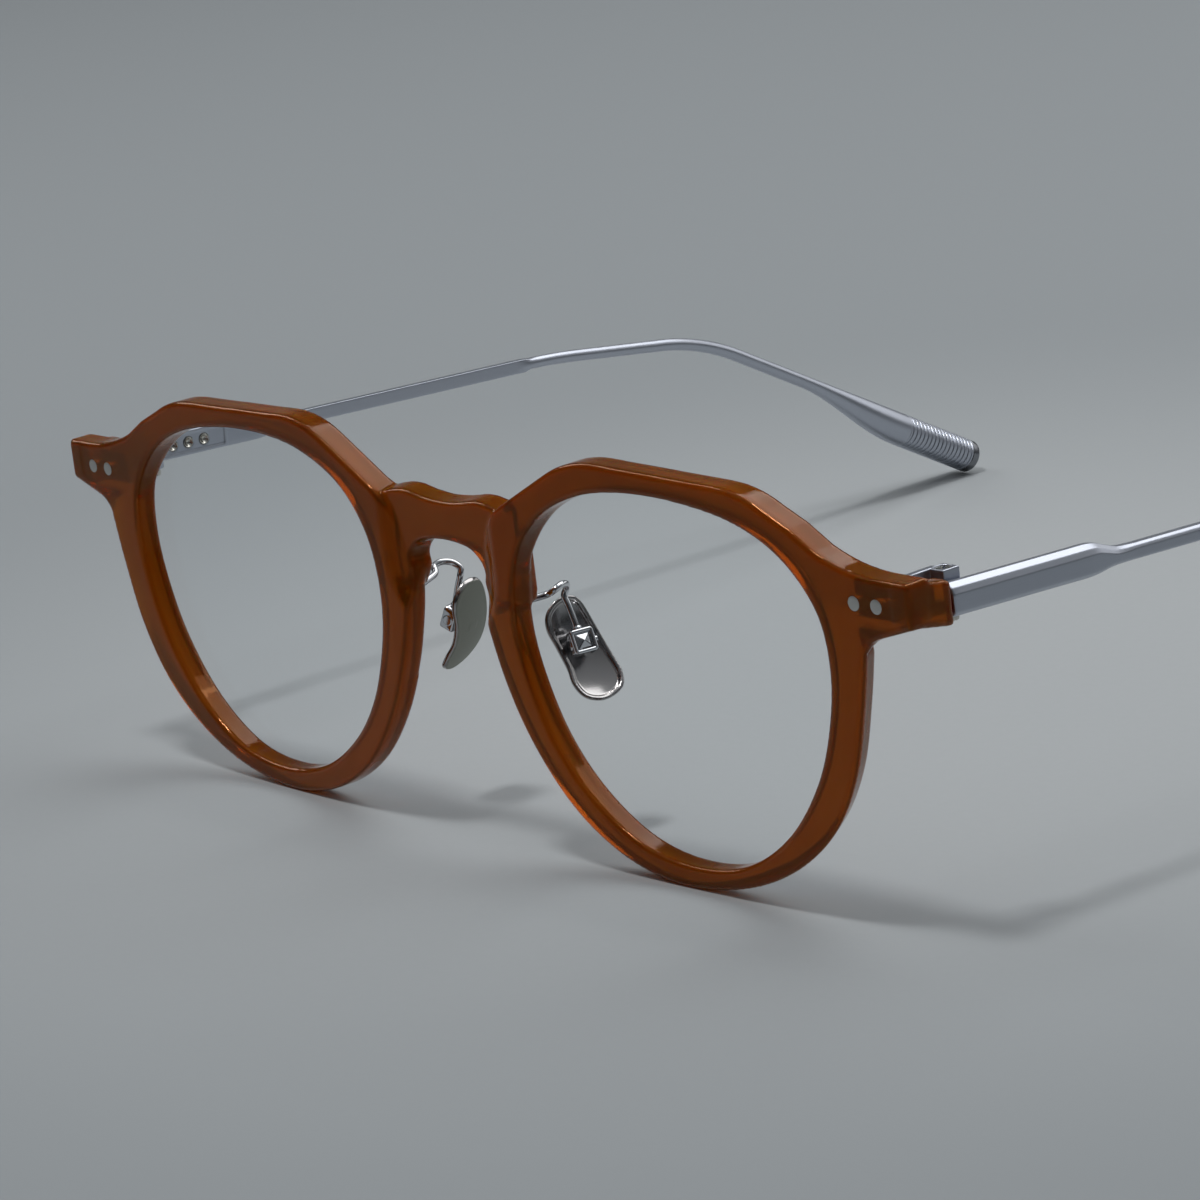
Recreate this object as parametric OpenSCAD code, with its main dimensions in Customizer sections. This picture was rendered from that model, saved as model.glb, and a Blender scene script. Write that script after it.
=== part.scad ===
// Crown panto eyeglasses: an acetate front with two flat-topped round rims,
// adjustable nose pads on bent wire arms, and slim metal temples on screw hinges.
// X runs across the front, Y runs back along the temples, Z is up. The glasses
// stand open on their rim bottoms and temple tips, with the origin under their middle.

/* [Rims] */
// Width of each rim opening
opening_w = 48; // [46:0.5:51]
// Distance between the centres of the two openings
centre_gap = 71; // [70:0.5:74]
// Front to back thickness of the acetate
rim_t = 3.5; // [3:0.1:4.5]
// Bevel on the outer front edge
front_bevel = 0.55; // [0.3:0.05:0.8]
// Bevel on the outer rear edge
rear_bevel = 0.9; // [0.4:0.1:1.2]
// Bevel round the openings
opening_bevel = 0.6; // [0.3:0.1:0.8]
// Angle that each rim is turned back from the bridge
wrap = 2; // [0:0.5:5]
// Angle that the top of the front leans forward
lean = 2.1; // [0:0.1:4]

/* [Lenses] */
// Thickness of a lens
lens_t = 1.5; // [1.2:0.1:2]
// Depth of the lens groove in the rim
groove_depth = 0.5; // [0.3:0.1:0.7]
// Width of the lens groove in the rim
groove_w = 0.9; // [0.6:0.1:1.2]

/* [Bridge] */
// How far the middle of the bridge is set back
bridge_recess = 0.95; // [0.3:0.05:1.5]
// Rear face of the bridge
bridge_back = 4.1; // [3.6:0.1:4.8]

/* [Endpieces] */
// Depth of an endpiece from front to back
endpiece_depth = 6.3; // [5.5:0.1:7]
// Width of the endpiece leg that meets the temple
leg_w = 2.5; // [2:0.1:3]
// Radius of a rivet head
rivet_head_r = 0.85; // [0.8:0.05:1.1]
// Radius of a rivet shank
rivet_r = 0.65; // [0.5:0.05:0.75]
// Distance between the two rivets
rivet_gap = 3.1; // [2.8:0.1:3.3]

/* [Hinges] */
// Outer radius of the hinge knuckles
knuckle_r = 1.6; // [1.4:0.05:1.65]
// Radius of the hinge screw
screw_r = 0.6; // [0.5:0.05:0.7]
// Running clearance round the hinge screw
hinge_play = 0.04; // [0.03:0.01:0.08]
// Gap between neighbouring knuckles
knuckle_gap = 0.05; // [0.04:0.01:0.1]

/* [Temples] */
// Height of the wide front part of a temple
wide_h = 3.4; // [3:0.1:4]
// Thickness of the wide front part
wide_t = 1.6; // [1.3:0.1:1.8]
// Height of the thin bar
thin_h = 1.65; // [1.4:0.05:2]
// Thickness of the thin bar
thin_t = 1.3; // [1.1:0.1:1.5]
// Length of the wide front part
wide_len = 20; // [18:0.5:26]
// Length from the front end to the round rod
bar_len = 62.5; // [58:0.5:68]
// Radius of the round rod
rod_r = 0.68; // [0.6:0.02:0.75]
// Angle that a temple slopes down from the hinge
slope = 2.2; // [1:0.1:4]
// Radius of the ear bend
ear_bend_r = 33; // [22:1:45]
// Angle of the ear bend
ear_bend = 25; // [18:1:28]
// Length of the ringed ear grip
grip_len = 12.4; // [10:0.2:16]
// Outer radius of the ear grip
grip_r = 1.85; // [1.6:0.05:2.1]
// Number of rings on the ear grip
grip_rings = 16; // [8:1:20]

/* [Nose pads] */
// Height of a nose pad
pad_h = 12; // [11:0.5:14]
// Radius of the wire of a pad arm
wire_r = 0.35; // [0.3:0.05:0.5]
// Radius of the domed face of a pad
pad_dome_r = 13; // [11:0.5:18]
// Angle that the front edge of a pad is turned towards the nose
pad_splay = 15; // [10:1:25]
// Angle that the top of a pad leans towards the nose
pad_flare = 26; // [15:1:28]

/* [Hidden] */
$fn = 48;

acetate = [0.52, 0.22, 0.07];
clear = [0.85, 0.9, 0.92, 0.35];
titanium = [0.62, 0.64, 0.69];
chrome = [0.8, 0.81, 0.83];
pad_grey = [0.42, 0.42, 0.4];

eps = 0.01;
// Slack between pieces that sit in each other on the same body
seat = 0.02;
// Middle of the object along Y, from the front face
middle_y = 71.68;
// Lift that brings the lowest points of the rims to Z 0
lift = 0.084;

// Outline of a rim opening, for the wearer's left eye, from the bottom round
opening_points = [
    [35.5, 2.35], [43.5, 3.6], [50.6, 7.9], [55.9, 14.4], [58.6, 21.4], [59.3, 27.5],
    [58.1, 33.0], [54.2, 38.1], [48.0, 41.1], [40.0, 42.5], [31.5, 42.6], [23.8, 41.3],
    [17.0, 38.0], [13.0, 33.0], [11.7, 27.0], [12.5, 20.8], [15.6, 13.5], [20.6, 7.8],
    [27.5, 3.7]
];
// Lower edge of the rim, from the endpiece round to the nose
lower_points = [
    [64.5, 28.8], [63.3, 23.0], [61.2, 15.8], [57.7, 9.4], [52.2, 4.5], [45.1, 1.4],
    [37.0, 0.0], [30.5, 0.15], [23.7, 2.1], [17.4, 6.1], [12.4, 11.9], [9.0, 18.3],
    [7.3, 24.3], [6.9, 28.4]
];
// Corners of the crown line over the top of the rim
crown_nose = [8.6, 37.2];
crown_inner = [22.9, 44.95];
crown_outer = [48.8, 44.15];
crown_side = [61.6, 37.4];
// Endpiece corners
ep_top_in = [61.9, 37.15];
ep_top_out = [71.45, 37.0];
ep_low_out = [71.5, 32.35];
ep_low_in = [64.9, 30.3];
ep_root_x = 60.6;
// Rear end of the endpiece leg, lower and upper edge
leg_rear_z = [31.2, 35.9];

base_opening_w = 48;
base_centre_gap = 71;
opening_scale = opening_w / base_opening_w;
opening_mid = [35.5, 22.5];
// Shift of each rim when the lens centres move apart
spread = (centre_gap - base_centre_gap) / 2;
lens_y = 1.1;
groove_y = lens_y + (lens_t - groove_w) / 2;
temporal_draft = 0.97;
wrap_x = 10;
// Inner end of the slanted facet beside the bridge, and its angle to the front
facet_x = 8.4 + spread;
facet_turn = 26;

rivet_x = 63.8;
rivet_z = 34.3;
rivet_head_t = 0.8;

leaf_t = 0.8;
// Hinge axis and middle height, in the plane of the rim
hinge_x = 68.1;
hinge_y = 8.6;
hinge_z = 33.8;
// Heights of the knuckles from the middle of the hinge
low_knuckle = [-2.25, -0.9];
mid_knuckle = [-0.85, 0.85];
high_knuckle = [0.9, 2.3];
screw_head_r = 0.85;
// Side of the square block round the screw head
block = 2.3;
screw_head_t = 0.5;
nut_r = 1.1;
nut_t = 0.85;

// Hinge axis after the rim is turned back and leaned
turned_y = (hinge_x - wrap_x) * sin(wrap) + hinge_y * cos(wrap);
axis_x = wrap_x + (hinge_x - wrap_x) * cos(wrap) - hinge_y * sin(wrap) + spread;
axis_y = turned_y * cos(lean) - hinge_z * sin(lean);
axis_z = turned_y * sin(lean) + hinge_z * cos(lean);

temple_out_x = 71.1 + spread;
temple_in_x = temple_out_x - wide_t;
temple_front_y = 7.45;
temple_z = 33.85;
// Height of the thin bar's middle over the middle of the wide part
thin_mid = -0.35;
taper_len = 6;
bow_r = 90;
bow = 5;
rod_before_bend = 20;
rod_after_bend = 8.55;
flare_len = 17;
rod_end_r = 0.85;
core_r = 1.0;
cap_t = 1.3;
ring_w = 0.18;
ring_depth = 0.1;

temple_leaf_len = 10.4;
temple_leaf_h = 2.9;
// Front end of the leaf plate behind the hinge axis
temple_leaf_start = 2;
leaf_screw_r = 0.55;
leaf_screw_gap = 2.6;

pad_pivot = [11.0, 9.45, 21.0];
arm_root_r = 0.45;
box_size = [1.9, 3.0, 3.0];
box_wall = 0.32;
tab_r = 0.58;
tab_half_h = 0.4;
tab_w = 1.1;
pin_r = 0.32;
pad_back = 1.7;
pad_skin = 0.45;
pad_lip = 0.7;
pad_lip_w = 0.55;
// Middle of the pad's outline beside its pivot
pad_middle = [0.8, -0.95];
base_pad_h = 13;
pad_points = [
    [0, 6.35], [2.1, 5.3], [3.0, 1.8], [3.5, -2.2], [2.7, -5.3], [0.4, -6.65],
    [-2.1, -5.8], [-3.4, -2.6], [-3.1, 1.4], [-2.0, 5.0]
];
// Centre line of a pad arm, from its root in the rim to the top of the box
arm_root = [8.2, 2.0, 26.6];
arm_exit = [8.9, 4.6, 26.9];
arm_points = [
    arm_exit, [10.2, 6.4, 27.2], [11.3, 7.5, 27.5], [11.3, 8.6, 28.1], [10.2, 9.4, 28.0],
    pad_point(0.2, 5.9), pad_point(0.6, 4.6),
    pad_point(0, 3), pad_point(0, 1.9), pad_point(0, 0.75)
];

function mix(a, b, t) = a + (b - a) * t;

// Point across and along a pad from its pivot
function pad_point(across, along) =
    pad_pivot
    + across * [cos(pad_flare) * cos(pad_splay), -cos(pad_flare) * sin(pad_splay), sin(pad_flare)]
    + along * [-sin(pad_flare) * cos(pad_splay), sin(pad_flare) * sin(pad_splay), cos(pad_flare)];

// One step of a smooth curve through points
function curve_point(a, b, c, d, t) =
    0.5 * (2 * b + (c - a) * t + (2 * a - 5 * b + 4 * c - d) * t * t
    + (3 * b - a - 3 * c + d) * t * t * t);

function closed_curve(p, steps) =
    let (n = len(p))
    [for (i = [0 : n - 1]) for (k = [0 : steps - 1])
        curve_point(p[(i + n - 1) % n], p[i], p[(i + 1) % n], p[(i + 2) % n], k / steps)];

function open_curve(p, steps) =
    let (n = len(p))
    concat(
        [for (i = [0 : n - 2]) for (k = [0 : steps - 1])
            curve_point(p[max(i - 1, 0)], p[i], p[i + 1], p[min(i + 2, n - 1)], k / steps)],
        [p[n - 1]]);

// Points of a rounded corner at b, which starts and ends at the given distance from b
function corner(a, b, c, reach, steps = 6) =
    let (start = b + (a - b) / norm(a - b) * reach, end = b + (c - b) / norm(c - b) * reach)
    [for (k = [0 : steps]) let (t = k / steps) mix(mix(start, b, t), mix(b, end, t), t)];

rim_outline = concat(
    corner(lower_points[len(lower_points) - 1], crown_nose, crown_inner, 3),
    corner(crown_nose, crown_inner, crown_outer, 4.2),
    corner(crown_inner, crown_outer, crown_side, 2.4),
    corner(crown_outer, crown_side, lower_points[0], 2.5),
    open_curve(lower_points, 4));

// The front as it leans, from parts drawn upright with the front face at Y 0
module placed() {
    translate([0, -middle_y, lift]) rotate([lean, 0, 0]) children();
}

// The middle of a hinge, whose axis stands upright
module hinge_place(side) {
    translate([0, -middle_y, lift]) on_side(side) translate([axis_x, axis_y, axis_z]) children();
}

// The wearer's right side is the mirror image of the left side
module on_side(side) {
    if (side == "right") mirror([1, 0, 0]) children();
    else children();
}

// The plane of a rim, turned back about the end of the bridge
module rim_plane() {
    translate([wrap_x + spread, 0, 0]) rotate([0, 0, wrap]) translate([-wrap_x, 0, 0]) children();
}

// A flat XZ shape, from y_from back over a depth
module slab(y_from, depth) {
    translate([0, y_from + depth, 0]) rotate([90, 0, 0]) linear_extrude(depth) children();
}

module opening_shape(grow = 0) {
    translate(opening_mid) scale([opening_scale, opening_scale]) translate(-opening_mid)
        offset(delta = grow) polygon(closed_curve(opening_points, 4));
}

// Outline of a rim, drawn in from the edge, and narrowed at the temple side by a draft
module rim_shape(inset, draft = 1) {
    translate([lower_points[13][0], 0]) scale([draft, 1]) translate([-lower_points[13][0], 0])
        offset(delta = -inset) polygon(rim_outline);
}

module rim_blank() {
    hull() {
        slab(0, eps) rim_shape(front_bevel);
        slab(front_bevel, eps) rim_shape(0);
        slab(rim_t - rear_bevel, eps) rim_shape(0, temporal_draft);
        slab(rim_t - eps, eps) rim_shape(rear_bevel, temporal_draft);
    }
}

// What is cut off a rim to carry the slanted facet of the bridge down its nose side
module nose_facet() {
    proud = 0.04;
    translate([facet_x, bridge_recess - proud, 0]) rotate([0, 0, -facet_turn]) translate([-10, 0, 0])
        rotate([90, 0, 90]) linear_extrude(20) polygon([
            [0, 50], [0, 27.5], [-0.9, 24], [-3, 20.5], [-9, 20.5], [-9, 50]
        ]);
}

// The hole through a rim with its two bevels and the groove for the lens
module rim_hole() {
    slab(-1, rim_t + 2) opening_shape();
    slab(groove_y, groove_w) opening_shape(groove_depth);
    hull() {
        slab(-eps, eps) opening_shape(opening_bevel);
        slab(opening_bevel, eps) opening_shape();
    }
    hull() {
        slab(rim_t - opening_bevel - eps, eps) opening_shape();
        slab(rim_t, eps) opening_shape(opening_bevel);
    }
}

// Endpiece: a plate in the plane of the rim with a leg that runs back to the temple
module endpiece() {
    intersection() {
        slab(0, endpiece_depth) polygon(concat(
            [[ep_root_x, 29.6], [ep_root_x, 37.9]],
            corner([ep_root_x, 37.8], ep_top_in, ep_top_out, 1.1),
            corner(ep_top_in, ep_top_out, ep_low_out, 0.7),
            corner(ep_top_out, ep_low_out, ep_low_in, 0.8),
            corner(ep_low_out, ep_low_in, [63.9, 27.4], 0.7),
            [[63.9, 27.4]]));
        linear_extrude(50) polygon(concat(
            [[ep_root_x, rim_t], [ep_root_x, 0]],
            corner([ep_root_x, 0], [ep_low_out[0], 0], [ep_low_out[0], endpiece_depth], 1.1),
            corner([ep_low_out[0], 0], [ep_low_out[0], endpiece_depth],
                [ep_low_out[0] - leg_w, endpiece_depth], 0.3),
            [[ep_low_out[0] - leg_w, endpiece_depth], [ep_low_out[0] - leg_w - 0.4, rim_t]]));
        translate([ep_root_x, 0, 0]) rotate([90, 0, 90]) linear_extrude(20) polygon([
            [0, 25], [rim_t / 2, ep_low_out[1] - 5.5], [rim_t, ep_low_out[1] - 1.2],
            [endpiece_depth, leg_rear_z[0]],
            [endpiece_depth, leg_rear_z[1]], [rim_t, ep_top_out[1] + 0.4], [rim_t / 2, 42], [0, 42]
        ]);
    }
}

// Bridge: a bar set back from the rims, with a facet at each end and the nose arch below
module bridge() {
    half_top = [[0, 37.75], [3.0, 37.95], [6.0, 38.4], [8.3, 38.2], [10.6, 37.6], [12 + spread, 37.9]];
    half_arch = open_curve([[0, 33.95], [4.4, 33.8], [6.7, 32.9], [7.55, 31.2], [7.2, 29.2], [8.2, 27.6]], 4);
    n = len(half_arch);
    root_x = 11 + spread;
    facet_end = [facet_x + 1.7, bridge_recess - 1.7 * tan(facet_turn)];
    intersection() {
        slab(-1, 8) union() for (m = [0, 1]) mirror([m, 0]) polygon(concat(
            half_top, [[12 + spread, 27.6]], [for (i = [0 : n - 1]) half_arch[n - 1 - i]]));
        linear_extrude(50) polygon([
            [-root_x, 0.05], [-facet_end[0], facet_end[1]], [-facet_x, bridge_recess],
            [facet_x, bridge_recess], facet_end, [root_x, 0.05],
            [root_x, rim_t], [facet_x, bridge_back], [-facet_x, bridge_back], [-root_x, rim_t]
        ]);
    }
}

// Straight root of a pad arm, from inside the rim
module arm_root_rod(radius) {
    run = arm_exit - arm_root;
    translate(arm_root + [spread, 0, 0])
        rotate([0, acos(run[2] / norm(run)), atan2(run[1], run[0])])
        cylinder(r = radius, h = norm(run));
}

module rivet_places() {
    for (i = [0, 1]) translate([rivet_x + i * rivet_gap, 0, rivet_z]) rotate([-90, 0, 0]) children();
}

module half_front() {
    difference() {
        rim_plane() difference() {
            union() {
                rim_blank();
                endpiece();
            }
            rim_hole();
            rivet_places() {
                union() {
                    translate([0, 0, -1]) cylinder(r = rivet_head_r + seat, h = 1 + rivet_head_t);
                    cylinder(r = rivet_r + seat, h = rim_t + 1);
                }
            }
        }
        nose_facet();
        arm_root_rod(arm_root_r + seat);
    }
}

module front_frame() {
    color(acetate) placed() union() {
        half_front();
        mirror([1, 0, 0]) half_front();
        difference() {
            bridge();
            for (side = ["left", "right"]) on_side(side) rim_plane() slab(-1, 8) opening_shape(groove_depth);
        }
    }
}

module lens(side) {
    color(clear) placed() on_side(side) rim_plane() {
        slab(lens_y, lens_t) opening_shape(-seat);
        slab(groove_y + seat, groove_w - 2 * seat) opening_shape(groove_depth - seat);
    }
}

module rivets(side) {
    color(titanium) placed() on_side(side) rim_plane() rivet_places() {
        union() {
            cylinder(r = rivet_head_r, h = rivet_head_t);
            cylinder(r = rivet_r, h = rim_t + leaf_t);
        }
    }
}

// Front hinge leaf: a plate behind the endpiece, a web and two knuckles
module front_leaf(side) {
    plate_low = hinge_z + low_knuckle[0] + 0.4;
    plate_high = hinge_z + high_knuckle[1] - 0.3;
    plate_x = rivet_x - 1.7;
    web_t = 0.9;
    web_y = rim_t - hinge_y + 0.2;
    color(titanium) difference() {
        union() {
            placed() on_side(side) rim_plane() translate([plate_x, rim_t, plate_low])
                cube([hinge_x - knuckle_r + web_t - plate_x, leaf_t, plate_high - plate_low]);
            hinge_place(side) {
                rotate([0, 0, wrap]) {
                    translate([-knuckle_r, web_y, low_knuckle[0] + 0.3])
                        cube([web_t, -web_y - knuckle_r - 0.25, high_knuckle[1] - low_knuckle[0] - 0.6]);
                    for (span = [low_knuckle, high_knuckle])
                        translate([-knuckle_r, web_y, span[0]]) cube([web_t, -web_y, span[1] - span[0]]);
                }
                translate([0, 0, low_knuckle[0]]) cylinder(r = knuckle_r, h = low_knuckle[1] - low_knuckle[0]);
                translate([-block / 2, -block / 2, high_knuckle[0]])
                    cube([block, block, high_knuckle[1] - high_knuckle[0]]);
            }
        }
        hinge_place(side) {
            translate([0, 0, low_knuckle[0] - 1]) cylinder(r = screw_r + seat / 2, h = 7);
            translate([0, 0, high_knuckle[1] - screw_head_t]) cylinder(r = screw_head_r + seat, h = 2);
        }
        placed() on_side(side) rim_plane() rivet_places()
            translate([0, 0, rim_t - 1]) cylinder(r = rivet_r + seat, h = leaf_t + 2);
    }
}

module hinge_screw(side) {
    slot_w = 0.3;
    slot_d = 0.25;
    color(chrome) hinge_place(side) difference() {
        union() {
            translate([0, 0, low_knuckle[0] - nut_t])
                cylinder(r = screw_r, h = high_knuckle[1] - low_knuckle[0] + nut_t - 0.1);
            translate([0, 0, high_knuckle[1] - screw_head_t])
                cylinder(r = screw_head_r, h = screw_head_t - 0.1);
        }
        translate([-2, -slot_w / 2, high_knuckle[1] - 0.1 - slot_d]) cube([4, slot_w, 1]);
    }
}

module hinge_nut(side) {
    chamfer = 0.2;
    color(chrome) hinge_place(side) translate([0, 0, low_knuckle[0] - nut_t])
        rotate_extrude() polygon([
            [screw_r + seat / 2, 0], [nut_r - chamfer, 0], [nut_r, chamfer],
            [nut_r, nut_t - seat], [screw_r + seat / 2, nut_t - seat]
        ]);
}

function unit(v) = v / norm(v);

function heading(path, i) = unit(path[min(i + 1, len(path) - 1)] - path[max(i - 1, 0)]);

// Sideways direction at each point of a path, carried on from the one before
function carried(path, side, i = 0) =
    i == len(path) ? [] :
    let (d = heading(path, i), s = unit(side - (side * d) * d))
    concat([s], carried(path, s, i + 1));

// Wire along a path, with a radius at each point
module tube(path, radii, first_side, sides) {
    across = carried(path, first_side);
    last = (len(path) - 1) * sides;
    points = [for (i = [0 : len(path) - 1])
        let (over = cross(heading(path, i), across[i]))
        for (k = [0 : sides - 1])
            path[i] + radii[i] * (cos(360 * k / sides) * across[i] + sin(360 * k / sides) * over)];
    polyhedron(points, concat(
        [[for (k = [0 : sides - 1]) k]],
        [for (i = [0 : len(path) - 2]) for (k = [0 : sides - 1])
            let (a = i * sides + k, b = i * sides + (k + 1) % sides)
            [a, a + sides, b + sides, b]],
        [[for (k = [sides - 1 : -1 : 0]) last + k]]));
}

module pad_arm(side) {
    color(chrome) placed() on_side(side) {
        path = open_curve(concat([mix(arm_root, arm_exit, 0.8)], arm_points), 4);
        arm_root_rod(arm_root_r);
        translate([spread, 0, 0]) tube(path, [for (p = path) wire_r], [1, 0, 0], 10);
    }
}

// Frame of a nose pad: X points away from the nose, Y to its rear edge, Z up along it
module pad_plane() {
    translate(pad_pivot + [spread, 0, 0]) rotate([0, 0, -pad_splay]) rotate([0, -pad_flare, 0]) children();
}

module pad_box(side) {
    color(chrome) placed() on_side(side) pad_plane() difference() {
        translate([-box_size[0] / 2, -box_size[1] / 2, -box_size[2] / 2]) cube(box_size);
        translate([-box_size[0], -tab_w / 2 - 0.06, -box_size[2]])
            cube([1.5 * box_size[0] - box_wall, tab_w + 0.12, box_size[2] + tab_r + 0.07]);
        cylinder(r = wire_r + seat, h = box_size[2]);
        translate([0, -box_size[1], 0]) rotate([-90, 0, 0]) cylinder(r = pin_r + seat / 2, h = 2 * box_size[1]);
    }
}

module pad_pin(side) {
    head_t = 0.25;
    color(chrome) placed() on_side(side) pad_plane() rotate([-90, 0, 0]) {
        translate([0, 0, -box_size[1] / 2 - head_t]) cylinder(r = 2 * pin_r, h = head_t);
        translate([0, 0, -box_size[1] / 2]) cylinder(r = pin_r, h = box_size[1]);
    }
}

module pad_outline(inset = 0) {
    grow = pad_h / base_pad_h;
    offset(delta = -inset) scale([grow, grow]) polygon(closed_curve(pad_points, 4));
}

// The part of a pad between two spheres, inside an outline
module pad_shell(thickness) {
    intersection() {
        translate([-8, pad_middle[0], pad_middle[1]]) rotate([90, 0, 90]) linear_extrude(10) children();
        translate([pad_dome_r - pad_back - pad_lip, pad_middle[0], pad_middle[1]]) difference() {
            sphere(r = pad_dome_r, $fn = 96);
            sphere(r = pad_dome_r - thickness, $fn = 96);
        }
    }
}

// Nose pad: a domed metal dish with a thick lip, and a tab that turns in the box
module nose_pad(side) {
    color(pad_grey) placed() on_side(side) pad_plane() difference() {
        union() {
            pad_shell(pad_skin) pad_outline();
            pad_shell(pad_lip) difference() {
                pad_outline();
                pad_outline(pad_lip_w);
            }
            translate([-pad_back - pad_lip + 0.3, -tab_w / 2, -tab_half_h])
                cube([pad_back + pad_lip - 0.3, tab_w, 2 * tab_half_h]);
            translate([0, -tab_w / 2, 0]) rotate([-90, 0, 0]) cylinder(r = tab_r, h = tab_w);
        }
        translate([0, -2, 0]) rotate([-90, 0, 0]) cylinder(r = pin_r + hinge_play, h = 4);
    }
}

// Frame of a temple: Y runs back along the bar from its front end, Z is square to it
module temple_frame(side) {
    translate([0, -middle_y, lift]) on_side(side)
        translate([temple_in_x, temple_front_y, temple_z]) rotate([-slope, 0, 0]) children();
}

// Points of a downward bend, from a start point and slope
function bend_path(start, from, angle, radius, steps) =
    [for (k = [0 : steps]) let (a = from + angle * k / steps)
        start + radius * [0, sin(a) - sin(from), cos(a) - cos(from)]];

function ahead(start, down, distance) = start + distance * [0, cos(down), -sin(down)];

bow_path = bend_path([thin_t / 2, bar_len, thin_mid], 0, bow, bow_r, 3);
ear_start = ahead(bow_path[3], bow, rod_before_bend);
ear_path = bend_path(ear_start, bow, ear_bend, ear_bend_r, 8);
flare_start = ahead(ear_path[8], bow + ear_bend, rod_after_bend);
flare_path = [for (k = [1 : 8]) flare_point(k / 8)];
grip_start = flare_path[7];

// Frame at the start of the ear grip, with Z along it
module at_grip() {
    translate(grip_start) rotate([-90 - bow - ear_bend, 0, 0]) children();
}

// Radius of the flare at a share of its length, and its middle: the upper side stays straight
function flare_r(t) = mix(rod_end_r, grip_r, min(1, t * t * 1.3));

function flare_point(t) =
    ahead(flare_start, bow + ear_bend, flare_len * t)
    - (flare_r(t) - rod_end_r) * [0, sin(bow + ear_bend), cos(bow + ear_bend)];

// Temple bar: wide bevelled front, stepped taper, thin bar, bent round rod and flared end
module temple_bar(side) {
    half_w = wide_h / 2;
    thin_low = thin_mid - thin_h / 2;
    thin_high = thin_mid + thin_h / 2;
    taper_end = wide_len + taper_len;
    low_bevel = 0.45;
    top_bevel = 0.9;
    rake = wide_h * tan(slope + lean);
    path = concat([[thin_t / 2, bar_len - 1.5, thin_mid]], bow_path, ear_path, [flare_start], flare_path);
    bent = len(bow_path) + len(ear_path) + 1;
    color(titanium) temple_frame(side) {
        intersection() {
            rotate([90, 0, 90]) linear_extrude(wide_t) polygon([
                [0, -half_w], [wide_len - 1, -half_w], [wide_len + 2.5, -half_w + 0.4],
                [taper_end, thin_low], [bar_len, thin_low], [bar_len, thin_mid],
                [bar_len - 1.2, thin_high], [taper_end, thin_high], [wide_len + 3.4, thin_high + 0.12],
                [wide_len + 1.8, thin_high + 0.75], [wide_len + 0.6, half_w - 0.1],
                [wide_len - 0.6, half_w], [-rake, half_w]
            ]);
            translate([0, 0, -half_w]) linear_extrude(wide_h) polygon([
                [0, -1], [wide_t, -1], [wide_t, wide_len], [thin_t, taper_end], [thin_t, bar_len],
                [0, bar_len]
            ]);
            translate([0, bar_len, 0]) rotate([90, 0, 0]) linear_extrude(bar_len + 1) polygon([
                [0, -half_w], [wide_t - low_bevel, -half_w], [wide_t, -half_w + low_bevel],
                [wide_t, half_w - top_bevel - 0.1], [wide_t - top_bevel, half_w], [0, half_w]
            ]);
        }
        tube(path, concat([0.4], [for (k = [1 : bent]) mix(rod_r, rod_end_r, k / bent)],
            [for (k = [1 : 8]) flare_r(k / 8)]), [1, 0, 0], 16);
        at_grip() translate([0, 0, -1]) cylinder(r = core_r, h = grip_len + 1);
    }
}

// Temple hinge leaf: a plate on the inner face of the bar, and the middle knuckle
module temple_leaf(side) {
    knuckle_h = mid_knuckle[1] - mid_knuckle[0];
    arm_x = temple_in_x - axis_x - leaf_t;
    color(titanium) difference() {
        union() {
            temple_frame(side) translate([-leaf_t, leaf_plate_y(), -temple_leaf_h / 2])
                cube([leaf_t, temple_leaf_len, temple_leaf_h]);
            hinge_place(side) translate([0, 0, mid_knuckle[0]]) {
                cylinder(r = knuckle_r, h = knuckle_h);
                translate([arm_x, 0, 0]) cube([leaf_t - 0.15, temple_leaf_start + 0.6, knuckle_h]);
            }
        }
        hinge_place(side) translate([0, 0, -2]) cylinder(r = screw_r + hinge_play, h = 4);
        temple_frame(side) leaf_screw_places()
            translate([0, 0, -1]) cylinder(r = leaf_screw_r + seat, h = 3);
    }
}

// Front end of the leaf plate in the frame of the temple
function leaf_plate_y() = axis_y + temple_leaf_start - temple_front_y;

module leaf_screw_places() {
    for (i = [0 : 2]) translate([-leaf_t, leaf_plate_y() + 2.3 + i * leaf_screw_gap, 0])
        rotate([0, 90, 0]) children();
}

// Three dished screws that hold the leaf on the bar
module leaf_screws(side) {
    dish_r = 0.9;
    color(chrome) temple_frame(side) leaf_screw_places() difference() {
        cylinder(r = leaf_screw_r, h = leaf_t);
        translate([0, 0, -dish_r + 0.3]) sphere(r = dish_r, $fn = 32);
    }
}

// Sleeve with fine turned rings
module ear_grip(side) {
    pitch = (grip_len - 0.8) / grip_rings;
    color(titanium) temple_frame(side) at_grip() rotate_extrude() polygon(concat(
        [[core_r + seat, seat], [grip_r, seat]],
        [for (i = [0 : grip_rings]) for (cut = [
                [grip_r, 0.4 + i * pitch - ring_w / 2],
                [grip_r - ring_depth, 0.4 + i * pitch],
                [grip_r, 0.4 + i * pitch + ring_w / 2]])
            cut],
        [[grip_r, grip_len], [core_r + seat, grip_len]]));
}

module end_cap(side) {
    rim = 0.35;
    color(pad_grey) temple_frame(side) at_grip() translate([0, 0, grip_len + seat])
        rotate_extrude() polygon(concat(
            [[0, 0], [grip_r, 0]],
            corner([grip_r, 0], [grip_r, cap_t], [0, cap_t], rim, 4),
            [[0, cap_t]]));
}

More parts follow.
